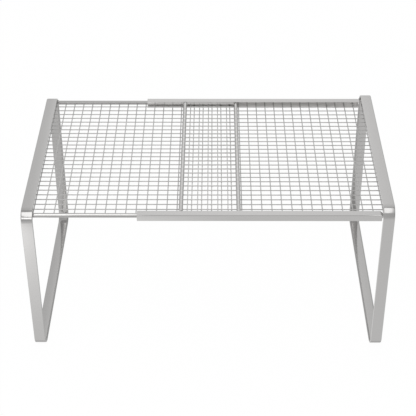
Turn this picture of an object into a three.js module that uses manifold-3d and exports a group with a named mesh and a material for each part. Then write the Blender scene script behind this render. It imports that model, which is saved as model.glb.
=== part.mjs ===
// Expandable wire shelf riser: two half shelves that telescope along X.
// Millimetres, +Z up, floor at z = 0, front towards -Y.
// The left half's rods slide in the right half's channels.
import * as THREE from 'three';
import { mergeVertices } from 'three/addons/utils/BufferGeometryUtils.js';
import Module from 'manifold-3d';

const wasm = await Module();
wasm.setup();

// Overall sizes, at the extension shown
const overallWidth = 375;
const shelfDepth = 239;
const rightHeight = 181.8;

// Flat strip that is bent into each leg frame
const stripWidth = 12;
const stripThickness = 2;
const bendRadius = 12;

// Round rods of the left half, and the round end bar of each half
const rodDiameter = 4.7;
const barDiameter = 3.5;

// Channels of the right half, open towards the middle of the shelf
const channelWall = 0.6;
const channelDepth = 8;
const channelCorner = 0.8;
const channelReach = 104.5; // from a channel's free end to the left leg frame
const lugWidth = 6; // of the corner left at a channel's other end, to weld under the right strip
const lugHeight = 3.2;
const lugTaper = 1.2; // length over which the flanges narrow to the lug

// Mesh wires
const wireDiameter = 1.1;
const longPitch = 8.22;
const longSpread = 0.0385; // share by which the long wires draw apart towards the front and back
const leftLongShift = 3.1; // each mesh sits this far behind the middle
const rightLongShift = 2.2;
const rightLongMargin = 7.5; // least bare width between the right mesh and the back channel
const leftCrossPitch = 10.34;
const rightCrossPitch = 10.24;
const leftFirstCross = 0.3; // under the strip, outwards from its inner edge
const rightFirstCross = 2.6;
const meshOverlap = 57; // between the two end bars, to the nearest cross wire
const wireOverhang = 1.1; // ends that stand past the wire or bar across them
const tieSink = 0.33; // depth of the welds that join the long wires to their tie wire

// Fits
const railInset = 0.7; // from the leg's inner face to the channel
const railEndInset = 1.5; // rails stop this far inside the strip's outer edge
const wireEndInset = 4; // long wires stop this far inside the strip's outer edge
const lugGap = 0.5; // from the channel's full section to the right leg frame
const rodClearance = 1.3; // rod to the channel's web
const wireEndGap = 0.3; // right cross wires to the channel's web
const slideClearance = 0.15; // layers that pass over each other
const flangeClearance = 1; // left long wires to the channels' lower flanges
const weldGap = 0.1; // rails to the inside of the bends that they are welded to

// Facets
const bendSegments = 8;
const cornerSegments = 3;
const rodSides = 12;
const wireSides = 6;

// Derived places across the shelf
const halfWidth = overallWidth / 2;
const stripInnerX = halfWidth - stripWidth;
const innerBend = bendRadius - stripThickness;
const bendY = shelfDepth / 2 - bendRadius;
const webY = shelfDepth / 2 - stripThickness - railInset;
const flangeY = webY - channelDepth;
const rodRadius = rodDiameter / 2;
const rodY = webY - channelWall - rodClearance - rodRadius;

// Layers upwards from the inner face of the channel's lower flange, where the right cross wires lie:
// the left long wires pass over these, and the left cross wires and end bar lie on the left long wires
const leftLongLift = wireDiameter + slideClearance;
const leftCrossLift = leftLongLift + wireDiameter;
const rodTop = leftLongLift + rodDiameter;
const leftBarTop = leftCrossLift + barDiameter;
const channelOpening = Math.max(rodTop, leftBarTop) + slideClearance;
const channelHeight = channelOpening + 2 * channelWall;

// A rail touches the inside of a bend where its own round corner lies this far above the bend's centre
const rise = (reach, sideways) => Math.sqrt(reach ** 2 - sideways ** 2);
const cornerRise = rise(innerBend - weldGap - channelCorner, webY - channelCorner - bendY);
const channelTop = rightHeight - bendRadius + cornerRise + channelCorner;
const channelFloor = channelTop - channelHeight + channelWall;
const rodZ = channelFloor + rodTop - rodRadius;
const rodCorner = rodRadius / Math.cos(Math.PI / rodSides);
const leftHeight = rodZ - rise(innerBend - weldGap - rodCorner, rodY - bendY) + bendRadius;

// Heights of the wires and bars: the right bar passes over the left mesh, its top no lower than the channel's
const rightCrossZ = channelFloor + wireDiameter / 2;
const rightLongZ = rightCrossZ - wireDiameter;
const leftLongZ = channelFloor + leftLongLift + wireDiameter / 2;
const leftCrossZ = leftLongZ + wireDiameter;
const leftBarZ = channelFloor + leftBarTop - barDiameter / 2;
const leftMeshTop = leftCrossLift + wireDiameter;
const rightBarTop = Math.max(leftMeshTop + slideClearance + barDiameter, channelOpening + channelWall);
const rightBarZ = channelFloor + rightBarTop - barDiameter / 2;

// As many long wires as fit between the channels
const longCount = (margin) => 1 + Math.floor((2 * (flangeY - margin)) / longPitch);
const leftLongCount = longCount(leftLongShift + wireOverhang + flangeClearance);
const rightLongCount = longCount(rightLongShift + rightLongMargin);

// Places along the shelf: each end bar takes the next place after the cross wires
const crossCount = (first, pitch) => Math.round((stripInnerX + first + meshOverlap / 2) / pitch);
const leftCrossCount = crossCount(leftFirstCross, leftCrossPitch);
const rightCrossCount = crossCount(rightFirstCross, rightCrossPitch);
const leftCrossX = (index) => index * leftCrossPitch - stripInnerX - leftFirstCross;
const rightCrossX = (index) => stripInnerX + rightFirstCross - index * rightCrossPitch;
const leftBarX = leftCrossX(leftCrossCount);
const rightBarX = rightCrossX(rightCrossCount);
const railReach = halfWidth - railEndInset;
const wireReach = halfWidth - wireEndInset;
const lugStartX = stripInnerX - lugGap;

const shelf = new THREE.Group();
const leftHalf = new THREE.Group();
const rightHalf = new THREE.Group();
shelf.add(leftHalf, rightHalf);

const finishes = {
  strip: { color: 0xb6b5b2, roughness: 0.42, metalness: 0.35 },
  rail: { color: 0xbdbcb9, roughness: 0.38, metalness: 0.4 },
  wire: { color: 0xb0afac, roughness: 0.4, metalness: 0.4 },
};

function addPiece(half, name, geometry, finish, place) {
  const mesh = new THREE.Mesh(geometry, new THREE.MeshStandardMaterial(finish));
  mesh.name = name;
  mesh.position.set(...place);
  half.add(mesh);
}

// A section drawn in (y, z), run along X from fromX to toX
function runAlongX(shape, fromX, toX, curveSegments = cornerSegments) {
  const options = { depth: toX - fromX, bevelEnabled: false, curveSegments };
  const geometry = new THREE.ExtrudeGeometry(shape, options);
  const axes = [new THREE.Vector3(0, 1, 0), new THREE.Vector3(0, 0, 1), new THREE.Vector3(1, 0, 0)];
  geometry.applyMatrix4(new THREE.Matrix4().makeBasis(...axes));
  return geometry.translate(fromX, 0, 0);
}

// A section drawn in (x, z), run along Y and centred on y = 0
function runAlongY(shape, length) {
  const geometry = new THREE.ExtrudeGeometry(shape, { depth: length, bevelEnabled: false });
  const axes = [new THREE.Vector3(1, 0, 0), new THREE.Vector3(0, 0, 1), new THREE.Vector3(0, -1, 0)];
  geometry.applyMatrix4(new THREE.Matrix4().makeBasis(...axes));
  return geometry.translate(0, length / 2, 0);
}

// A round section as a polygon with a flat on top, its diameter across the flats
function roundSection(diameter, sides) {
  const corner = diameter / 2 / Math.cos(Math.PI / sides);
  const points = [];
  for (let index = 0; index < sides; index += 1) {
    const angle = Math.PI / 2 + Math.PI / sides + (index * 2 * Math.PI) / sides;
    points.push(new THREE.Vector2(corner * Math.cos(angle), corner * Math.sin(angle)));
  }
  return new THREE.Shape(points);
}

function roundedRectangle(path, halfY, bottom, top, radius) {
  path.moveTo(halfY, bottom + radius);
  path.absarc(halfY - radius, top - radius, radius, 0, Math.PI / 2);
  path.absarc(radius - halfY, top - radius, radius, Math.PI / 2, Math.PI);
  path.absarc(radius - halfY, bottom + radius, radius, Math.PI, 1.5 * Math.PI);
  path.absarc(halfY - radius, bottom + radius, radius, 1.5 * Math.PI, 2 * Math.PI);
  return path;
}

// One strip bent into a closed upright frame: top bar, two legs and floor bar
function legFrame(height) {
  const shape = roundedRectangle(new THREE.Shape(), shelfDepth / 2, 0, height, bendRadius);
  const insideY = shelfDepth / 2 - stripThickness;
  const insideTop = height - stripThickness;
  shape.holes.push(roundedRectangle(new THREE.Path(), insideY, stripThickness, insideTop, innerBend));
  return runAlongX(shape, 0, stripWidth, bendSegments);
}

addPiece(leftHalf, 'left_leg_frame', legFrame(leftHeight), finishes.strip, [-halfWidth, 0, 0]);
addPiece(rightHalf, 'right_leg_frame', legFrame(rightHeight), finishes.strip, [stripInnerX, 0, 0]);

function solid(geometry) {
  geometry.deleteAttribute('normal');
  geometry.deleteAttribute('uv');
  const merged = mergeVertices(geometry);
  const vertProperties = new Float32Array(merged.attributes.position.array);
  const triVerts = new Uint32Array(merged.index.array);
  return new wasm.Manifold(new wasm.Mesh({ numProp: 3, vertProperties, triVerts }));
}

function geometryOf(body) {
  const { vertProperties, triVerts } = body.getMesh();
  const geometry = new THREE.BufferGeometry();
  geometry.setAttribute('position', new THREE.BufferAttribute(vertProperties, 3));
  geometry.setIndex(new THREE.BufferAttribute(triVerts, 1));
  return geometry;
}

// C section of the back channel, its lower flange's inner face on z = 0
function channelSection() {
  const bottom = -channelWall;
  const top = channelOpening + channelWall;
  const cornerY = webY - channelCorner;
  const shape = new THREE.Shape();
  shape.moveTo(flangeY, bottom);
  shape.absarc(cornerY, bottom + channelCorner, channelCorner, 1.5 * Math.PI, 2 * Math.PI);
  shape.absarc(cornerY, top - channelCorner, channelCorner, 0, Math.PI / 2);
  shape.lineTo(flangeY, top);
  shape.lineTo(flangeY, channelOpening);
  shape.lineTo(webY - channelWall, channelOpening);
  shape.lineTo(webY - channelWall, 0);
  shape.lineTo(flangeY, 0);
  shape.closePath();
  return shape;
}

// Cut away at a channel's end, seen from above: the flanges taper to the width of the lug
function lugPlan() {
  const shape = new THREE.Shape();
  shape.moveTo(lugStartX - lugTaper, flangeY);
  shape.lineTo(lugStartX, webY - lugWidth);
  shape.lineTo(halfWidth, webY - lugWidth);
  shape.lineTo(halfWidth, flangeY - channelDepth);
  shape.lineTo(lugStartX - lugTaper, flangeY - channelDepth);
  shape.closePath();
  return shape;
}

// Cut away below the lug, seen from the front
function lugUnderside() {
  const shape = new THREE.Shape();
  const lugBottom = channelOpening + channelWall - lugHeight;
  shape.moveTo(lugStartX, -channelHeight);
  shape.lineTo(halfWidth, -channelHeight);
  shape.lineTo(halfWidth, lugBottom);
  shape.lineTo(lugStartX, lugBottom);
  shape.closePath();
  return shape;
}

// side is -1 for the front channel and 1 for the back one
function channel(side) {
  const mirrored = (shape, axis) => {
    const points = shape.getPoints(cornerSegments);
    points.forEach((point) => point.setComponent(axis, side * point.getComponent(axis)));
    return new THREE.Shape(points);
  };
  const section = runAlongX(mirrored(channelSection(), 0), channelReach - stripInnerX, railReach);
  const cutHeight = 4 * channelHeight;
  const options = { depth: cutHeight, bevelEnabled: false };
  const beside = new THREE.ExtrudeGeometry(mirrored(lugPlan(), 1), options).translate(0, 0, -cutHeight / 2);
  const below = runAlongY(lugUnderside(), shelfDepth);
  return geometryOf(solid(section).subtract(solid(beside)).subtract(solid(below)));
}

const rod = runAlongX(roundSection(rodDiameter, rodSides), -railReach, leftBarX + barDiameter / 2);
for (const [place, side] of [['front', -1], ['back', 1]]) {
  addPiece(leftHalf, `left_${place}_rod`, rod, finishes.rail, [0, side * rodY, rodZ]);
  addPiece(rightHalf, `right_${place}_channel`, channel(side), finishes.rail, [0, 0, channelFloor]);
}

// The left bar butts against the rods, the right bar against the edges of the channels' upper flanges
const leftBar = runAlongY(roundSection(barDiameter, rodSides), 2 * (rodY - rodRadius));
const rightBar = runAlongY(roundSection(barDiameter, rodSides), 2 * flangeY);
addPiece(leftHalf, 'left_end_bar', leftBar, finishes.rail, [leftBarX, 0, leftBarZ]);
addPiece(rightHalf, 'right_end_bar', rightBar, finishes.rail, [rightBarX, 0, rightBarZ]);

// Long wires side by side, welded into one comb by a tie wire near their outer ends.
// The outer ends are at x = 0 and the inner ends at x = reach.
function longWires(count, reach) {
  const halfSpan = ((count - 1) * longPitch) / 2;
  const tie = runAlongY(roundSection(wireDiameter, wireSides), 2 * (halfSpan + wireOverhang));
  let comb = solid(tie.translate(Math.sign(reach) * wireOverhang, 0, wireDiameter - tieSink));
  for (let index = 0; index < count; index += 1) {
    const share = (2 * index) / (count - 1) - 1;
    const row = halfSpan * share * (1 - longSpread + longSpread * share ** 2);
    const wire = runAlongX(roundSection(wireDiameter, wireSides), Math.min(0, reach), Math.max(0, reach));
    comb = comb.add(solid(wire.translate(0, row, 0)));
  }
  return geometryOf(comb);
}

// Each half's long wires run from under its strip to just past its end bar
const leftLong = longWires(leftLongCount, wireReach + leftBarX + wireOverhang);
const rightLong = longWires(rightLongCount, rightBarX - wireReach - wireOverhang);
addPiece(leftHalf, 'left_long_wires', leftLong, finishes.wire, [-wireReach, leftLongShift, leftLongZ]);
addPiece(rightHalf, 'right_long_wires', rightLong, finishes.wire, [wireReach, rightLongShift, rightLongZ]);

// The left cross wires end on the rods, on the facet at their height; the right ones end inside the channels
const facetTilt = (2 * Math.PI) / rodSides;
const wireOffset = Math.max(0, Math.abs(rodZ - leftCrossZ) - wireDiameter / 2);
const slopedReach = (rodRadius - wireOffset * Math.sin(facetTilt)) / Math.cos(facetTilt);
const leftCrossEnd = rodY - Math.min(rodRadius, slopedReach);
const rightCrossEnd = webY - channelWall - wireEndGap;
const leftCross = runAlongY(roundSection(wireDiameter, wireSides), 2 * leftCrossEnd);
const rightCross = runAlongY(roundSection(wireDiameter, wireSides), 2 * rightCrossEnd);

const numbered = (name, index) => `${name}_${String(index + 1).padStart(2, '0')}`;
for (let index = 0; index < leftCrossCount; index += 1) {
  const place = [leftCrossX(index), 0, leftCrossZ];
  addPiece(leftHalf, numbered('left_cross_wire', index), leftCross, finishes.wire, place);
}
for (let index = 0; index < rightCrossCount; index += 1) {
  const place = [rightCrossX(index), 0, rightCrossZ];
  addPiece(rightHalf, numbered('right_cross_wire', index), rightCross, finishes.wire, place);
}

export default shelf;
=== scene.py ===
import math
import bmesh
import bpy
from mathutils import Matrix, Vector


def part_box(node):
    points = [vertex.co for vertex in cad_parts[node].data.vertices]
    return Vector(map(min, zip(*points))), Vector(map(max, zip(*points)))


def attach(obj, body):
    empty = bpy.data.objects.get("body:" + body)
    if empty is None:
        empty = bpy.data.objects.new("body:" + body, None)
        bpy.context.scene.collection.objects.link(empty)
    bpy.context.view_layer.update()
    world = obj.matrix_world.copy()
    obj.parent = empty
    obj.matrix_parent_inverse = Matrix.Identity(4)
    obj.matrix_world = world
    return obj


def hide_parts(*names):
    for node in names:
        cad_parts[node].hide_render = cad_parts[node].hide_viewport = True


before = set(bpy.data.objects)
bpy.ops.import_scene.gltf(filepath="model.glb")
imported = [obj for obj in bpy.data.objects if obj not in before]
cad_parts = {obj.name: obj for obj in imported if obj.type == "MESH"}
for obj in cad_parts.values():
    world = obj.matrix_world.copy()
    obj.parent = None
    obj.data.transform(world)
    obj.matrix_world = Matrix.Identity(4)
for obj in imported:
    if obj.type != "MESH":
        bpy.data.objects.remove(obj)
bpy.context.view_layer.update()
scene = bpy.context.scene
mm = 0.001
halves = {"left": "inner_half", "right": "outer_half"}
ends = {"front": -1, "back": 1}  # the side of the middle on Y
print("frame loaded:", len(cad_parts), "nodes")

# camera at the photograph's viewpoint
cameraView = {
    "lens": 99.944, "sensor": 36.0, "clip": (0.05, 50),
    "location": (0.00647, -1.05573, 0.84754),
    "yaw": -0.3660, "pitch": 35.2925, "roll": 0.1572,  # degrees
}


def addCamera(view):
    data = bpy.data.cameras.new("photoCamera")
    data.lens = view["lens"]
    data.sensor_width = view["sensor"]
    data.clip_start, data.clip_end = view["clip"]
    camera = bpy.data.objects.new("photoCamera", data)
    scene.collection.objects.link(camera)
    turn = Matrix.Rotation(math.radians(-view["yaw"]), 4, "Z")
    turn = turn @ Matrix.Rotation(math.radians(90 - view["pitch"]), 4, "X")
    turn = turn @ Matrix.Rotation(math.radians(-view["roll"]), 4, "Z")
    camera.matrix_world = Matrix.Translation(view["location"]) @ turn
    scene.camera = camera


addCamera(cameraView)
print("camera placed")


# node groups that the finishes share
def newGroup(name, inputs, outputs):
    group = bpy.data.node_groups.new(name, "ShaderNodeTree")
    for label, kind, value in inputs:
        socket = group.interface.new_socket(name=label, in_out="INPUT", socket_type=kind)
        if value is not None:
            socket.default_value = value
    for label, kind in outputs:
        group.interface.new_socket(name=label, in_out="OUTPUT", socket_type=kind)
    entry = group.nodes.new("NodeGroupInput")
    leave = group.nodes.new("NodeGroupOutput")
    return group, entry, leave


def addNode(tree, kind, **settings):
    node = tree.nodes.new(kind)
    for key, value in settings.items():
        setattr(node, key, value)
    return node


def addMath(tree, operation, first, second, clamp=False):
    node = addNode(tree, "ShaderNodeMath", operation=operation, use_clamp=clamp)
    for index, value in enumerate((first, second)):
        if isinstance(value, (int, float)):
            node.inputs[index].default_value = value
        else:
            tree.links.new(value, node.inputs[index])
    return node.outputs[0]


def addNoise(tree, vector, scale, detail, roughness):
    node = addNode(tree, "ShaderNodeTexNoise")
    node.inputs["Detail"].default_value = detail
    node.inputs["Roughness"].default_value = roughness
    if isinstance(scale, (int, float)):
        node.inputs["Scale"].default_value = scale
    else:
        tree.links.new(scale, node.inputs["Scale"])
    tree.links.new(vector, node.inputs["Vector"])
    return node.outputs["Fac"]


def buildCoatGrain():  # fine orange peel of a sprayed coat, with broad unevenness
    group, entry, leave = newGroup(
        "coatGrain",
        [("Vector", "NodeSocketVector", None), ("Peel Scale", "NodeSocketFloat", 900.0),
         ("Cloud Scale", "NodeSocketFloat", 28.0)],
        [("Peel", "NodeSocketFloat"), ("Flake", "NodeSocketFloat"), ("Cloud", "NodeSocketFloat")])
    flakesPerPeel = 5.0
    vector = entry.outputs["Vector"]
    peelScale = entry.outputs["Peel Scale"]
    peel = addNoise(group, vector, peelScale, detail=3.0, roughness=0.55)
    cells = addNode(group, "ShaderNodeTexVoronoi", feature="F1")
    group.links.new(vector, cells.inputs["Vector"])
    group.links.new(addMath(group, "MULTIPLY", peelScale, flakesPerPeel), cells.inputs["Scale"])
    spark = addNode(group, "ShaderNodeSeparateColor")
    group.links.new(cells.outputs["Color"], spark.inputs["Color"])
    cloud = addNoise(group, vector, entry.outputs["Cloud Scale"], detail=4.0, roughness=0.6)
    group.links.new(peel, leave.inputs["Peel"])
    group.links.new(spark.outputs["Red"], leave.inputs["Flake"])
    group.links.new(cloud, leave.inputs["Cloud"])
    return group


def buildDrawnLines():  # faint lines along X from drawing and sliding
    group, entry, leave = newGroup(
        "drawnLines",
        [("Vector", "NodeSocketVector", None), ("Stretch", "NodeSocketVector", (14.0, 2600.0, 2600.0))],
        [("Lines", "NodeSocketFloat")])
    stretch = addNode(group, "ShaderNodeVectorMath", operation="MULTIPLY")
    group.links.new(entry.outputs["Vector"], stretch.inputs[0])
    group.links.new(entry.outputs["Stretch"], stretch.inputs[1])
    lines = addNoise(group, stretch.outputs["Vector"], scale=1.0, detail=2.0, roughness=0.6)
    group.links.new(lines, leave.inputs["Lines"])
    return group


def buildEdgeWear():  # broken, lighter line along rounded edges, from a face attribute
    group, entry, leave = newGroup(
        "edgeWear",
        [("Vector", "NodeSocketVector", None), ("Amount", "NodeSocketFloat", 0.5)],
        [("Wear", "NodeSocketFloat")])
    edge = addNode(group, "ShaderNodeAttribute", attribute_name="edgeWear")
    breaks = addNoise(group, entry.outputs["Vector"], scale=160.0, detail=5.0, roughness=0.65)
    lift = addNode(group, "ShaderNodeMapRange", clamp=True)
    lift.inputs["From Min"].default_value = 0.42
    lift.inputs["From Max"].default_value = 0.72
    group.links.new(breaks, lift.inputs["Value"])
    worn = addMath(group, "MULTIPLY", edge.outputs["Fac"], lift.outputs["Result"])
    worn = addMath(group, "MULTIPLY", worn, entry.outputs["Amount"], clamp=True)
    group.links.new(worn, leave.inputs["Wear"])
    return group


def buildPaintedShadeAndLight():  # painted shade and painted light: the colour scaled by a face attribute
    group, entry, leave = newGroup(
        "paintedShadeAndLight",
        [("Colour", "NodeSocketColor", None), ("Strength", "NodeSocketFloat", 0.3)],
        [("Colour", "NodeSocketColor")])
    tone = addNode(group, "ShaderNodeAttribute", attribute_name="paintedShadeAndLight")
    change = addMath(group, "MULTIPLY", tone.outputs["Fac"], entry.outputs["Strength"])
    scaled = addNode(group, "ShaderNodeVectorMath", operation="SCALE")
    group.links.new(entry.outputs["Colour"], scaled.inputs[0])
    group.links.new(addMath(group, "ADD", change, 1.0), scaled.inputs["Scale"])
    group.links.new(scaled.outputs["Vector"], leave.inputs["Colour"])
    return group


coatGrain = buildCoatGrain()
drawnLines = buildDrawnLines()
edgeWear = buildEdgeWear()
paintedShadeAndLight = buildPaintedShadeAndLight()

finishes = {
    "stripMetal": {"dark": (0.685, 0.677, 0.669), "light": (0.725, 0.717, 0.708), "worn": (0.79, 0.78, 0.77),
                   "metallic": 1.0, "rough": (0.09, 0.16), "peel": 900.0, "cloud": 24.0,
                   "wear": 0.25, "lines": 0.10, "bump": 0.02},
    "railMetal": {"dark": (0.705, 0.697, 0.689), "light": (0.745, 0.737, 0.728), "worn": (0.80, 0.79, 0.78),
                  "metallic": 1.0, "rough": (0.09, 0.15), "peel": 1100.0, "cloud": 30.0,
                  "wear": 0.25, "lines": 0.35, "bump": 0.02},
    "wireMetal": {"dark": (0.50, 0.494, 0.488), "light": (0.545, 0.539, 0.532), "worn": (0.60, 0.59, 0.58),
                  "metallic": 0.3, "rough": (0.12, 0.20), "peel": 1500.0, "cloud": 40.0,
                  "wear": 0.25, "lines": 0.15, "bump": 0.03},
}
flakeShare = 0.3  # the rest of the coat's colour follows the clouds
bumpDepth = 0.2 * mm
mixSockets = {"value": (2, 3, 0), "colour": (6, 7, 2)}  # a mix node's first, second and result


def mixColour(tree, factor, first, second):
    node = addNode(tree, "ShaderNodeMix", data_type="RGBA")
    tree.links.new(factor, node.inputs["Factor"])
    firstAt, secondAt, resultAt = mixSockets["colour"]
    for socket, value in ((node.inputs[firstAt], first), (node.inputs[secondAt], second)):
        if isinstance(value, tuple):
            socket.default_value = (*value, 1.0)
        else:
            tree.links.new(value, socket)
    return node.outputs[resultAt]


def satinFinish(name, look):
    material = bpy.data.materials.new(name)
    material.use_nodes = True
    tree = material.node_tree
    shader = tree.nodes["Principled BSDF"]
    dull = addNode(tree, "ShaderNodeAttribute", attribute_name="dullCoat").outputs["Fac"]
    metallic = addMath(tree, "SUBTRACT", look["metallic"], addMath(tree, "MULTIPLY", dull, look["metallic"]))
    tree.links.new(metallic, shader.inputs["Metallic"])
    place = addNode(tree, "ShaderNodeTexCoord").outputs["Object"]
    grain = addNode(tree, "ShaderNodeGroup", node_tree=coatGrain)
    grain.inputs["Peel Scale"].default_value = look["peel"]
    grain.inputs["Cloud Scale"].default_value = look["cloud"]
    lines = addNode(tree, "ShaderNodeGroup", node_tree=drawnLines)
    wear = addNode(tree, "ShaderNodeGroup", node_tree=edgeWear)
    wear.inputs["Amount"].default_value = look["wear"]
    for node in (grain, lines, wear):
        tree.links.new(place, node.inputs["Vector"])
    # colour: clouds with single flakes, then worn edges, then the face's painted shade and light
    flake = addMath(tree, "MULTIPLY", grain.outputs["Flake"], flakeShare)
    cloud = addMath(tree, "MULTIPLY", grain.outputs["Cloud"], 1.0 - flakeShare)
    mottle = addMath(tree, "ADD", cloud, flake, clamp=True)
    coat = mixColour(tree, mottle, look["dark"], look["light"])
    coat = mixColour(tree, wear.outputs["Wear"], coat, look["worn"])
    toned = addNode(tree, "ShaderNodeGroup", node_tree=paintedShadeAndLight)
    tree.links.new(coat, toned.inputs["Colour"])
    tree.links.new(toned.outputs["Colour"], shader.inputs["Base Color"])
    # roughness: grain with drawn lines across it
    gloss = addNode(tree, "ShaderNodeMapRange", clamp=True)
    gloss.inputs["To Min"].default_value = look["rough"][0]
    gloss.inputs["To Max"].default_value = look["rough"][1]
    drawn = addMath(tree, "MULTIPLY", lines.outputs["Lines"], look["lines"])
    peeled = addMath(tree, "MULTIPLY", grain.outputs["Peel"], 1.0 - look["lines"])
    surface = addMath(tree, "ADD", drawn, peeled)
    tree.links.new(surface, gloss.inputs["Value"])
    tree.links.new(gloss.outputs["Result"], shader.inputs["Roughness"])
    bump = addNode(tree, "ShaderNodeBump")
    bump.inputs["Strength"].default_value = look["bump"]
    bump.inputs["Distance"].default_value = bumpDepth
    tree.links.new(surface, bump.inputs["Height"])
    tree.links.new(bump.outputs["Normal"], shader.inputs["Normal"])
    return material


materials = {name: satinFinish(name, look) for name, look in finishes.items()}
print("finishes ready:", ", ".join(materials))


# a finished bmesh becomes a piece that rides on its half and stands for its CAD nodes
def finishPiece(bm, name, finish, body, nodes=(), sharpAngle=40, weighted=False):
    mesh = bpy.data.meshes.new(name)
    bm.to_mesh(mesh)
    bm.free()
    mesh.polygons.foreach_set("use_smooth", [True] * len(mesh.polygons))
    mesh.set_sharp_from_angle(angle=math.radians(sharpAngle))
    mesh.materials.append(materials[finish])
    piece = bpy.data.objects.new(name, mesh)
    scene.collection.objects.link(piece)
    if weighted:
        normals = piece.modifiers.new("flatFaces", "WEIGHTED_NORMAL")
        normals.keep_sharp = True
    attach(piece, body)
    if nodes:
        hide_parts(*nodes)
    return piece


# what the pieces share in their making
facing = 0.5  # a face looks up, out or back when its normal has more than this share of that way
sliceReach = 1e-7  # metres


def edgesAtAngle(edges, least):
    return [e for e in edges if len(e.link_faces) == 2 and e.calc_face_angle(0) > math.radians(least)]


def roundOff(bm, geom, kind, radius, segments):
    return bmesh.ops.bevel(bm, geom=geom, offset=radius, offset_type="OFFSET", affect=kind,
                           segments=segments, profile=0.5, material=-1)["faces"]


def drawOut(bm, grown, along):
    drawn = [v for v in grown["geom"] if isinstance(v, bmesh.types.BMVert)]
    bmesh.ops.translate(bm, verts=drawn, vec=along)
    return drawn


def sliceAt(bm, point, normal):
    bmesh.ops.bisect_plane(bm, geom=bm.verts[:] + bm.edges[:] + bm.faces[:], dist=sliceReach,
                           plane_co=point, plane_no=normal)


def addMarks(bm, *names):  # all are made before any is used, because a new one moves the others
    for name in names:
        bm.faces.layers.float.new(name)
    return [bm.faces.layers.float[name] for name in names]


def forwardDegrees(normal):  # how far a face leans forward from facing up
    return math.degrees(math.atan2(-normal.y, normal.z))


# leg frames: a rectangle with rounded corners, inset to the strip's thickness and drawn out to a share of
# its width, so that its edges, rounder inside the loop, become a soft crown when it is stretched out fully
legStrip = {"bendRadius": 12 * mm, "thickness": 2 * mm, "bendSegments": 22, "crownStretch": 1.6,
            "edgeDegrees": 60, "edgeSegments": 8, "outerRound": 0.6 * mm, "innerRound": 1.2 * mm,
            # the tones below are painted shade, apart from a painted highlight on the right strip's inner
            # edge
            "wornLean": 0.8, "innerWallLean": (0.12, 0.9), "innerWallShade": -1.0,
            "rearShades": {"left": -0.4, "right": -0.15},
            "floorLean": 0.3, "floorShadeAndLight": -0.35, "footShade": -0.7,
            "innerEdgeLean": 0.4, "innerEdgeShadeAndHighlight": {"left": -0.6, "right": 0.8},
            "bendShadeDegrees": (19, 29), "bendShadeBand": -0.4}


def drawStrip(low, high):
    bm = bmesh.new()
    corners = [bm.verts.new((0, y, z)) for y, z in
               ((low.y, low.z), (high.y, low.z), (high.y, high.z), (low.y, high.z))]
    bm.faces.new(corners)
    roundOff(bm, corners, "VERTICES", legStrip["bendRadius"], legStrip["bendSegments"])
    bm.faces.ensure_lookup_table()
    outline = bm.faces[0]
    bmesh.ops.inset_individual(bm, faces=[outline], thickness=legStrip["thickness"], use_even_offset=True)
    bmesh.ops.delete(bm, geom=[outline], context="FACES_ONLY")
    grown = bmesh.ops.extrude_face_region(bm, geom=bm.faces[:])
    drawOut(bm, grown, ((high.x - low.x) / legStrip["crownStretch"], 0, 0))
    bmesh.ops.recalc_face_normals(bm, faces=bm.faces[:])
    return bm


def legShadeAndHighlight(face, half, middle):  # painted shade inside the loop, on the rear legs, at the floor and foot and in a band across the front bends; painted shade on the left strip's inner edge, a painted highlight on the right's
    centre, normal = face.calc_center_median(), face.normal
    inward = normal.x if half == "left" else -normal.x
    leastLean, mostLean = legStrip["innerWallLean"]
    shadeBandStart, shadeBandEnd = legStrip["bendShadeDegrees"]
    if normal.dot(centre - middle) < 0 and leastLean < inward < mostLean:
        return legStrip["innerWallShade"]
    if centre.y > 0 and centre.z > legStrip["bendRadius"] and normal.y < -facing:
        return legStrip["rearShades"][half]
    if centre.z < legStrip["bendRadius"] and abs(normal.z) > legStrip["floorLean"]:
        return legStrip["floorShadeAndLight"] if normal.z > 0 else legStrip["footShade"]
    if centre.y < 0 and inward > legStrip["innerEdgeLean"]:
        return legStrip["innerEdgeShadeAndHighlight"][half]
    if centre.y < 0 and shadeBandStart < forwardDegrees(normal) < shadeBandEnd:
        return legStrip["bendShadeBand"]
    return 0.0


def makeLegFrame(half, body):
    node = half + "_leg_frame"
    low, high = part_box(node)
    middle = Vector((0, low.y + high.y, low.z + high.z)) / 2
    bm = drawStrip(low, high)
    shadeMark, edgeMark = addMarks(bm, "paintedShadeAndLight", "edgeWear")
    walls = [f for f in bm.faces if abs(f.normal.x) < facing]
    outerWalls = {f for f in walls if f.normal.dot(f.calc_center_median() - middle) > 0}
    sharp = edgesAtAngle(bm.edges, legStrip["edgeDegrees"])
    outerEdges = [e for e in sharp if outerWalls.intersection(e.link_faces)]
    rounded = roundOff(bm, outerEdges, "EDGES", legStrip["outerRound"], legStrip["edgeSegments"])
    innerEdges = edgesAtAngle(bm.edges, legStrip["edgeDegrees"])
    rounded += roundOff(bm, innerEdges, "EDGES", legStrip["innerRound"], legStrip["edgeSegments"])
    for face in rounded:
        if abs(face.normal.x) > legStrip["wornLean"]:
            face[edgeMark] = 1.0
    for face in bm.faces:
        face[shadeMark] = legShadeAndHighlight(face, half, middle)
    bmesh.ops.scale(bm, verts=bm.verts[:], vec=(legStrip["crownStretch"], 1, 1))
    bmesh.ops.translate(bm, verts=bm.verts[:], vec=(low.x, 0, 0))
    return finishPiece(bm, half + "_legFrame", "stripMetal", body, [node])


for half, body in halves.items():
    makeLegFrame(half, body)
print("leg frames made")

# round bars and wires: a capped circle drawn along its length, with softened ends
rimDegrees = 68


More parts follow.
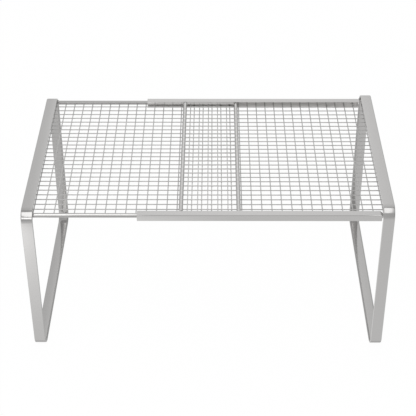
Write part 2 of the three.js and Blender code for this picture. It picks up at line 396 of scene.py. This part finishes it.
def drawBar(bm, start, end, radius, sides, endRound, endSegments=2):
    start, end = Vector(start), Vector(end)
    along = end - start
    turn = along.to_track_quat("Z", "Y").to_matrix().to_4x4()
    ring = bmesh.ops.create_circle(bm, cap_ends=True, segments=sides, radius=radius,
                                   matrix=Matrix.Translation(start) @ turn)
    cap = ring["verts"][0].link_faces[0]
    drawn = drawOut(bm, bmesh.ops.extrude_face_region(bm, geom=[cap]), along)
    made = set(ring["verts"]) | set(drawn)
    faces = list({f for v in made for f in v.link_faces})
    bmesh.ops.recalc_face_normals(bm, faces=faces)
    rims = edgesAtAngle({e for v in made for e in v.link_edges}, rimDegrees)
    return roundOff(bm, rims, "EDGES", endRound, endSegments)


# the rods get painted shade underneath, painted light where they run in the channels and a painted highlight
# along the front rod's top; the end bars are a little flattened and grow away from each other, to pass at the
# slide's limit
rails = {"rodSides": 28, "rodEnd": 0.7 * mm, "rodSteps": 12, "paintedLightTone": 0.9,
         "underShade": -0.75, "underFrom": 0.8, "underFull": 0.5,
         "highlightDegrees": (12, 46), "highlightTones": (1.4, 0.4),
         "barSides": 24, "barEnd": 1.7 * mm, "barOutward": 0.75 * mm, "barInward": 0.05 * mm,
         "barHighlight": 0.6, "sideLean": 0.6, "sideShade": -0.3, "tipShadow": -1.5, "endSegments": 6}


# painted light inside the channel, a painted highlight along the front rod's top, painted shade underneath
def rodShadeAndHighlight(normal, along, end):
    highlightStart, highlightEnd = rails["highlightDegrees"]
    nearHighlight, farHighlight = rails["highlightTones"]
    if along > 1:
        return rails["paintedLightTone"]
    if end == "front" and highlightStart < forwardDegrees(normal) < highlightEnd:
        return nearHighlight + (farHighlight - nearHighlight) * along
    under = (rails["underFrom"] - normal.z) / (rails["underFrom"] - rails["underFull"])
    return rails["underShade"] * min(1, max(0, under))


def makeRod(end):
    node = "left_" + end + "_rod"
    low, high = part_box(node)
    middle = (low + high) / 2
    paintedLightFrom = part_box("right_" + end + "_channel")[0].x
    bm = bmesh.new()
    shadeMark, edgeMark = addMarks(bm, "paintedShadeAndLight", "edgeWear")
    tips = drawBar(bm, (low.x, middle.y, middle.z), (high.x, middle.y, middle.z), (high.z - low.z) / 2,
                   rails["rodSides"], rails["rodEnd"], rails["endSegments"])
    for face in tips:
        face[edgeMark] = 1.0
    for step in range(1, rails["rodSteps"] + 1):
        sliceAt(bm, (low.x + (paintedLightFrom - low.x) * step / rails["rodSteps"], 0, 0), (1, 0, 0))
    for face in bm.faces:
        along = (face.calc_center_median().x - low.x) / (paintedLightFrom - low.x)
        face[shadeMark] = rodShadeAndHighlight(face.normal, along, end)
    return finishPiece(bm, "left_" + end + "Rod", "railMetal", "inner_half", [node])


def makeEndBar(half, body):
    node = half + "_end_bar"
    low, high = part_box(node)
    middle = (low + high) / 2
    thickness = high.z - low.z
    bm = bmesh.new()
    shadeMark = bm.faces.layers.float.new("paintedShadeAndLight")
    tips = drawBar(bm, (middle.x, low.y, middle.z), (middle.x, high.y, middle.z), thickness / 2,
                   rails["barSides"], rails["barEnd"], rails["endSegments"])
    # painted shadow at the back tip under the flange, painted shade at the sides, a painted highlight on the
    # rest
    for face in bm.faces:
        if face.normal.y > facing or face in tips and face.calc_center_median().y > 0:
            face[shadeMark] = rails["tipShadow"]
        elif abs(face.normal.x) > rails["sideLean"]:
            face[shadeMark] = rails["sideShade"]
        else:
            face[shadeMark] = rails["barHighlight"]
    growth = rails["barOutward"] + rails["barInward"]
    bmesh.ops.scale(bm, verts=bm.verts[:], vec=(1 + growth / thickness, 1, 1),
                    space=Matrix.Translation((-middle.x, 0, 0)))
    shift = (rails["barOutward"] - rails["barInward"]) / 2
    bmesh.ops.translate(bm, verts=bm.verts[:], vec=(shift if middle.x > 0 else -shift, 0, 0))
    return finishPiece(bm, half + "_endBar", "railMetal", body, [node])


for end in ends:
    makeRod(end)
for half, body in halves.items():
    makeEndBar(half, body)
print("rods and end bars made")

# channels: the C is folded from sheet, cut to a lug at its right end, then given its wall
channelSheet = {"wall": 0.6 * mm, "corner": 0.8 * mm, "cornerSegments": 6, "lipExtra": 0.7 * mm,
                "edgeDegrees": 50, "edgeRound": 0.13 * mm, "edgeSegments": 2, "joinReach": 1e-6,
                "lugGap": 0.5 * mm, "lugTaper": 1.2 * mm, "lugWidth": 6 * mm, "lugHeight": 3.2 * mm,
                # the fold, bottom, floor and inside tones are painted shade and painted light
                "foldLean": 0.2, "foldShades": {"front": 0.0, "back": -0.8}, "bottomShade": -0.8,
                "webMargin": 1 * mm, "insideLight": 1.1, "floorShadeAndLight": 0.2, "dullInside": 0.9}


def cutAway(bm, point, normal, keepIf):
    sliceAt(bm, point, normal)
    gone = [f for f in bm.faces if not keepIf(f.calc_center_median())]
    bmesh.ops.delete(bm, geom=gone, context="FACES")


def foldSheet(low, high, web, lip, side):
    bm = bmesh.new()
    lowerLip = lip - channelSheet["lipExtra"]
    outline = [bm.verts.new((low.x, side * y, z)) for y, z in
               ((lip, high.z), (web, high.z), (web, low.z), (lowerLip, low.z))]
    for first, second in zip(outline, outline[1:]):
        bm.edges.new((first, second))
    roundOff(bm, outline[1:3], "VERTICES", channelSheet["corner"], channelSheet["cornerSegments"])
    grown = bmesh.ops.extrude_edge_only(bm, edges=bm.edges[:])
    drawOut(bm, grown, (high.x - low.x, 0, 0))
    return bm


def cutLug(bm, top, web, lip, side):  # below and beside the lug the sheet is cut away, and it tapers up to it
    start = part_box("right_leg_frame")[0].x - channelSheet["lugGap"]
    lugBottom = top - channelSheet["lugHeight"]
    lugSide = web - channelSheet["lugWidth"]
    taper = Vector((channelSheet["lugTaper"], lugSide - lip))
    sliceAt(bm, (start, 0, 0), (1, 0, 0))
    cutAway(bm, (0, 0, lugBottom), (0, 0, 1), lambda c: c.x < start or c.z > lugBottom)
    cutAway(bm, (0, side * lugSide, 0), (0, 1, 0), lambda c: c.x < start or abs(c.y) > lugSide)
    cutAway(bm, (start, side * lugSide, 0), (taper.y, -side * taper.x, 0),
            lambda c: (start - c.x) * taper.y + (abs(c.y) - lugSide) * taper.x > 0)
    bmesh.ops.remove_doubles(bm, verts=bm.verts[:], dist=channelSheet["joinReach"])


def addWall(bm, side):  # the sheet grows inwards, so its outer faces have to look out first
    bmesh.ops.recalc_face_normals(bm, faces=bm.faces[:])
    webFace = max(bm.faces, key=lambda f: f.calc_area() if abs(f.normal.y) > facing else 0)
    if webFace.normal.y * side < 0:
        bmesh.ops.reverse_faces(bm, faces=bm.faces[:])
    bmesh.ops.solidify(bm, geom=bm.faces[:], thickness=channelSheet["wall"])
    bmesh.ops.recalc_face_normals(bm, faces=bm.faces[:])


def paintChannelShade(bm, shadeMark, dullMark, middle, lip, end):  # painted shade on the back fold and the undersides, painted light inside, and a less metallic lower flange
    lean = channelSheet["foldLean"]
    webFrom = lip + channelSheet["webMargin"]
    for face in bm.faces:
        centre = face.calc_center_median()
        outward, upward = face.normal.y * ends[end], face.normal.z
        toMiddle = upward if centre.z < middle else -upward
        insideWeb = outward < -facing and abs(centre.y) > webFrom
        if outward > lean and upward > lean:
            face[shadeMark] = channelSheet["foldShades"][end]
        elif outward > lean and upward < -lean:
            face[shadeMark] = channelSheet["bottomShade"]
        elif upward > facing and toMiddle > facing:
            face[shadeMark] = channelSheet["floorShadeAndLight"]
            face[dullMark] = channelSheet["dullInside"]
        elif toMiddle > facing or insideWeb:
            face[shadeMark] = channelSheet["insideLight"]


def makeChannel(end, side):
    node = "right_" + end + "_channel"
    low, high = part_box(node)
    web = max(abs(low.y), abs(high.y))
    lip = min(abs(low.y), abs(high.y))
    bm = foldSheet(low, high, web, lip, side)
    cutLug(bm, high.z, web, lip, side)
    addWall(bm, side)
    shadeMark, dullMark, edgeMark = addMarks(bm, "paintedShadeAndLight", "dullCoat", "edgeWear")
    paintChannelShade(bm, shadeMark, dullMark, (low.z + high.z) / 2, lip, end)
    sharp = edgesAtAngle(bm.edges, channelSheet["edgeDegrees"])
    for face in roundOff(bm, sharp, "EDGES", channelSheet["edgeRound"], channelSheet["edgeSegments"]):
        face[edgeMark] = 1.0
    return finishPiece(bm, "right_" + end + "Channel", "railMetal", "outer_half", [node], weighted=True)


for end, side in ends.items():
    makeChannel(end, side)
print("channels made")

# mesh wires: the rows of long wires draw apart a little towards the front and back, the first left cross wire
# is pressed close under the strip and gets painted shade from it, and all get painted light where the two
# meshes overlap
wires = {"radius": 0.55 * mm, "sides": 10, "endRound": 0.2 * mm, "longPitch": 8.2 * mm,
         "longSpread": 0.0385, "overhang": 1.1 * mm, "paintedLightTone": 0.8,
         "first": "left_cross_wire_01", "firstShift": 0.5 * mm, "firstShade": -0.6}


def drawWire(bm, start, end):
    drawBar(bm, start, end, wires["radius"], wires["sides"], wires["endRound"])


# painted light on the wires where the two meshes overlap
def paintOverlapLight(bm):
    start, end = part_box("right_end_bar")[0].x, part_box("left_end_bar")[1].x
    shadeMark = bm.faces.layers.float.new("paintedShadeAndLight")
    for edge in (start, end):
        sliceAt(bm, (edge, 0, 0), (1, 0, 0))
    for face in bm.faces:
        if start < face.calc_center_median().x < end:
            face[shadeMark] = wires["paintedLightTone"]
    return shadeMark


def crossNodes(half):
    return sorted(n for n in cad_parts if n.startswith(half + "_cross_wire"))


def crossPlace(node):
    low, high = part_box(node)
    shift = wires["firstShift"] if node == wires["first"] else 0
    return (low.x + high.x) / 2 - shift


def makeCrossWire(node, body):
    low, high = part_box(node)
    x, z = crossPlace(node), (low.z + high.z) / 2
    bm = bmesh.new()
    drawWire(bm, (x, low.y, z), (x, high.y, z))
    shadeMark = paintOverlapLight(bm)
    # painted shade on the first left cross wire, under the strip
    if node == wires["first"]:
        for face in bm.faces:
            face[shadeMark] = wires["firstShade"]
    return finishPiece(bm, node.replace("_cross_wire", "_crossWire"), "wireMetal", body, [node])


def longWireRows(half):
    low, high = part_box(half + "_long_wires")
    middle = (low.y + high.y) / 2
    halfSpan = (high.y - low.y) / 2 - wires["overhang"]
    spread = wires["longSpread"]
    count = round(2 * halfSpan / wires["longPitch"]) + 1
    shares = [2 * index / (count - 1) - 1 for index in range(count)]
    return [middle + halfSpan * share * (1 - spread + spread * share ** 2) for share in shares]


def makeLongWires(half, body):
    node = half + "_long_wires"
    low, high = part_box(node)
    height = low.z + wires["radius"]
    bm = bmesh.new()
    for row in longWireRows(half):
        drawWire(bm, (low.x, row, height), (high.x, row, height))
    tieX = low.x + wires["overhang"] if half == "left" else high.x - wires["overhang"]
    tieHeight = high.z - wires["radius"]
    drawWire(bm, (tieX, low.y, tieHeight), (tieX, high.y, tieHeight))
    paintOverlapLight(bm)
    return finishPiece(bm, half + "_longWires", "wireMetal", body, [node])


for half, body in halves.items():
    for crossNode in crossNodes(half):
        makeCrossWire(crossNode, body)
    makeLongWires(half, body)
print("mesh wires made")

# welds: one small flattened bead, repeated at every joint
weldBead = {"around": 8, "rings": 4, "sharpAngle": 80}
welds = {
    "spot": {"radii": (0.6 * mm, 0.6 * mm, 0.42 * mm), "tone": 0.3},  # where the wires cross
    # the edge beads' dark tone is painted shadow where the wires go under the strips
    "edge": {"radii": (0.75 * mm, 0.8 * mm, 0.5 * mm), "tone": -1.9},  # the same, at the strips
    "rod": {"radii": (0.75 * mm, 0.55 * mm, 0.7 * mm), "tone": -0.4,
            "sunk": 0.1 * mm},  # left cross wires to the rods
    "flange": {"radii": (0.8 * mm, 1.1 * mm, 0.35 * mm), "tone": 0.6,
               "fromLip": 2.2 * mm},  # right cross wires to the lower flanges
    # the bar beads' dark tone is painted shade at the bar tips
    "bar": {"radii": (1.4 * mm, 0.8 * mm, 0.6 * mm), "tone": -1.2,
            "sunk": 0.3 * mm},  # end bars to the rods and upper flanges
    # the strip beads' dark tone is painted shade in the gap where the rails meet the strips
    "strip": {"radii": (1.2 * mm, 0.6 * mm, 0.55 * mm), "tone": -1.2, "fromStrip": 0.3 * mm,
              "onRod": (1.55 * mm, 1.7 * mm), "onChannel": (0.2 * mm, 0.35 * mm)},  # rails to the strips
}


def makeWelds(name, body, finish, weld, places):
    bead = bmesh.new()
    bmesh.ops.create_uvsphere(bead, u_segments=weldBead["around"], v_segments=weldBead["rings"], radius=1,
                              matrix=Matrix.Diagonal((*weld["radii"], 1)))
    beadMesh = bpy.data.meshes.new("weldBead")
    bead.to_mesh(beadMesh)
    bead.free()
    bm = bmesh.new()
    last = Vector()
    for place in places:
        beadMesh.transform(Matrix.Translation(Vector(place) - last))
        bm.from_mesh(beadMesh)
        last = Vector(place)
    bpy.data.meshes.remove(beadMesh)
    shadeMark = bm.faces.layers.float.new("paintedShadeAndLight")
    for face in bm.faces:
        face[shadeMark] = weld["tone"]
    return finishPiece(bm, name, finish, body, sharpAngle=weldBead["sharpAngle"])


def crossPlaces(half):
    return sorted(crossPlace(node) for node in crossNodes(half))


for half, body in halves.items():
    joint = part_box(half + "_long_wires")[0].z + 2 * wires["radius"]
    rows = longWireRows(half)
    places = crossPlaces(half)
    atStrip = places[0] if half == "left" else places[-1]
    spots = [(x, row, joint) for x in places if x != atStrip for row in rows]
    makeWelds(half + "_spotWelds", body, "wireMetal", welds["spot"], spots)
    makeWelds(half + "_edgeWelds", body, "wireMetal", welds["edge"], [(atStrip, row, joint) for row in rows])
print("spot welds made")


def leftWelds(side):  # places are read from the back rod, and mirrored to the front
    rodLow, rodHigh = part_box("left_back_rod")
    barLow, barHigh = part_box("left_end_bar")
    rod, bar = (rodLow + rodHigh) / 2, (barLow + barHigh) / 2
    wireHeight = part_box(wires["first"])[1].z - wires["radius"]
    wireY = rodLow.y + welds["rod"]["sunk"]
    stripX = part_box("left_leg_frame")[1].x + welds["strip"]["fromStrip"]
    out, up = welds["strip"]["onRod"]
    return {
        "WireWelds": ("rod", [(x, side * wireY, wireHeight) for x in crossPlaces("left")]),
        "BarWeld": ("bar", [(bar.x, side * rodLow.y, bar.z)]),
        "StripWeld": ("strip", [(stripX, side * (rod.y + out), rod.z + up)]),
    }


def rightWelds(side):  # places are read from the back channel, and mirrored to the front
    channelLow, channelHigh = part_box("right_back_channel")
    barLow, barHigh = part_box("right_end_bar")
    barX = (barLow.x + barHigh.x) / 2
    flangeTop = channelLow.z + channelSheet["wall"]
    wireY = channelLow.y + welds["flange"]["fromLip"]
    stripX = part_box("right_leg_frame")[0].x - welds["strip"]["fromStrip"]
    inside, down = welds["strip"]["onChannel"]
    return {
        "WireWelds": ("flange", [(x, side * wireY, flangeTop) for x in crossPlaces("right")]),
        "BarWeld": ("bar", [(barX, side * channelLow.y, channelHigh.z - welds["bar"]["sunk"])]),
        "StripWeld": ("strip", [(stripX, side * (channelHigh.y - inside), channelHigh.z - down)]),
    }


for end, side in ends.items():
    railWelds = {"left": leftWelds(side), "right": rightWelds(side)}
    for weldName in ("WireWelds", "BarWeld", "StripWeld"):
        for half, body in halves.items():
            kind, places = railWelds[half][weldName]
            makeWelds(half + "_" + end + weldName, body, "railMetal", welds[kind], places)
print("rail and bar welds made")

# floor and studio light
studio = {
    "floorSize": 8.0, "floorColour": (0.93, 0.93, 0.93), "floorWhite": 0.975,
    # what the metal sees of the floor: an even glow from front to back, and a pool of light at the front left
    "floorGlow": ((-2.0, 0.5), (-0.9, 0.52), (-0.55, 0.59), (-0.40, 0.64), (0.10, 0.65), (0.25, 0.72),
                  (2.0, 0.68)),
    "poolAcross": ((-0.60, 1.05), (-0.255, 1.03), (-0.205, 0.75), (-0.07, 0.33), (-0.03, 0.2), (0.03, 0.0),
                   (0.60, 0.0)),
    "poolDeep": ((-0.43, 0.0), (-0.375, 0.06), (-0.353, 0.41), (-0.335, 0.43), (-0.30, 0.37), (-0.25, 0.27),
                 (-0.20, 0.17), (-0.15, 0.07), (-0.10, 0.0), (0.60, 0.0)),
    # and of the dome, by the angle forward from overhead and by the sideways lean
    "domeDegrees": ((-180, 0.9), (-75, 0.92), (-60, 1.0), (-50, 0.97), (-38, 0.9), (-18, 0.86), (-9, 0.75),
                    (50, 0.72), (62, 0.64), (100, 0.66), (180, 0.8)),
    "domeAcross": ((-1.0, 0.7), (-0.5, 0.6), (-0.15, 0.63), (-0.06, 0.78), (0.05, 0.79), (0.12, 0.73),
                   (0.20, 0.70), (0.4, 0.55), (1.0, 0.5)),
    # small panels close over the front corners, and one low at the front left
    "panels": {
        "leftPanel": {"place": (-0.158, -0.238, 0.325), "aim": (-0.158, -0.238, 0.0), "spin": 0,
                      "size": (0.156, 0.20), "level": 0.83},
        "rightPanel": {"place": (0.2045, -0.2075, 0.332), "aim": (0.2045, -0.2075, 0.0), "spin": 4,
                       "size": (0.031, 0.191), "level": 0.70},
        "lowPanel": {"place": (-0.2135, -0.304, 0.237), "aim": (-0.1815, -0.118, 0.171), "spin": 0,
                     "size": (0.10, 0.052), "level": 1.1},
    },
}


def addLevels(tree, value, stops):  # levels that change along a value, in straight steps
    low, high = stops[0][0], stops[-1][0]
    share = addNode(tree, "ShaderNodeMapRange", clamp=True)
    share.inputs["From Min"].default_value = low
    share.inputs["From Max"].default_value = high
    tree.links.new(value, share.inputs["Value"])
    node = addNode(tree, "ShaderNodeFloatCurve")
    node.mapping.use_clip = False
    curve = node.mapping.curves[0]
    places = [((at - low) / (high - low), level) for at, level in stops]
    curve.points[0].location = places[0]
    curve.points[1].location = places[-1]
    for place in places[1:-1]:
        curve.points.new(*place)
    for point in curve.points:
        point.handle_type = "VECTOR"
    node.mapping.update()
    tree.links.new(share.outputs["Result"], node.inputs["Value"])
    return node.outputs["Value"]


def whiteOrGlow(tree, plain, glow):  # white to plain rays, the glow to those that the metal reflects
    level = addNode(tree, "ShaderNodeMix", data_type="FLOAT")
    tree.links.new(plain, level.inputs["Factor"])
    glowAt, whiteAt, resultAt = mixSockets["value"]
    tree.links.new(glow, level.inputs[glowAt])
    level.inputs[whiteAt].default_value = 1.0
    return level.outputs[resultAt]


def palePaper():
    material = bpy.data.materials.new("palePaper")
    material.use_nodes = True
    tree = material.node_tree
    tree.nodes.remove(tree.nodes["Principled BSDF"])
    paper = addNode(tree, "ShaderNodeBsdfDiffuse")
    paper.inputs["Color"].default_value = (*studio["floorColour"], 1)
    place = addNode(tree, "ShaderNodeSeparateXYZ")
    tree.links.new(addNode(tree, "ShaderNodeTexCoord").outputs["Object"], place.inputs[0])
    pool = addMath(tree, "MULTIPLY", addLevels(tree, place.outputs["X"], studio["poolAcross"]),
                   addLevels(tree, place.outputs["Y"], studio["poolDeep"]))
    glow = addMath(tree, "ADD", addLevels(tree, place.outputs["Y"], studio["floorGlow"]), pool)
    path = addNode(tree, "ShaderNodeLightPath")
    white = addNode(tree, "ShaderNodeEmission")
    tree.links.new(whiteOrGlow(tree, path.outputs["Is Camera Ray"], glow), white.inputs["Strength"])
    seen = addMath(tree, "MAXIMUM", path.outputs["Is Camera Ray"], path.outputs["Is Glossy Ray"])
    seen = addMath(tree, "MAXIMUM", seen, path.outputs["Is Transmission Ray"])
    blend = addNode(tree, "ShaderNodeMixShader")
    tree.links.new(addMath(tree, "MULTIPLY", seen, studio["floorWhite"]), blend.inputs["Fac"])
    tree.links.new(paper.outputs[0], blend.inputs[1])
    tree.links.new(white.outputs[0], blend.inputs[2])
    tree.links.new(blend.outputs[0], tree.nodes["Material Output"].inputs["Surface"])
    return material


def addFloor():
    bm = bmesh.new()
    bmesh.ops.create_grid(bm, x_segments=4, y_segments=4, size=studio["floorSize"] / 2)
    mesh = bpy.data.meshes.new("studioFloor")
    bm.to_mesh(mesh)
    bm.free()
    mesh.materials.append(palePaper())
    floor = bpy.data.objects.new("studioFloor", mesh)
    scene.collection.objects.link(floor)


def addDome():
    world = bpy.data.worlds.new("studioDome")
    scene.world = world
    world.use_nodes = True
    tree = world.node_tree
    back = tree.nodes["Background"]
    direction = addNode(tree, "ShaderNodeSeparateXYZ")
    tree.links.new(addNode(tree, "ShaderNodeTexCoord").outputs["Generated"], direction.inputs[0])
    forward = addMath(tree, "MULTIPLY", direction.outputs["Y"], -1.0)
    angle = addMath(tree, "ARCTAN2", forward, direction.outputs["Z"])
    degrees = addMath(tree, "MULTIPLY", angle, 180 / math.pi)
    glow = addMath(tree, "MULTIPLY", addLevels(tree, degrees, studio["domeDegrees"]),
                   addLevels(tree, direction.outputs["X"], studio["domeAcross"]))
    path = addNode(tree, "ShaderNodeLightPath")
    plain = addMath(tree, "MAXIMUM", path.outputs["Is Camera Ray"], path.outputs["Is Diffuse Ray"])
    tree.links.new(whiteOrGlow(tree, plain, glow), back.inputs["Strength"])
    back.inputs["Color"].default_value = (1, 1, 1, 1)


def addPanel(name, panel):
    data = bpy.data.lights.new(name, "AREA")
    data.shape = "RECTANGLE"
    data.size, data.size_y = panel["size"]
    data.energy = panel["level"] * math.pi * data.size * data.size_y
    lamp = bpy.data.objects.new(name, data)
    scene.collection.objects.link(lamp)
    aim = Vector(panel["aim"]) - Vector(panel["place"])
    turn = aim.to_track_quat("-Z", "Y").to_matrix().to_4x4()
    turn = turn @ Matrix.Rotation(math.radians(panel["spin"]), 4, "Z")
    lamp.matrix_world = Matrix.Translation(panel["place"]) @ turn
    lamp.visible_camera = False


addFloor()
addDome()
for panelName, panel in studio["panels"].items():
    addPanel(panelName, panel)
scene.view_settings.view_transform = "Standard"
print("floor and light ready")
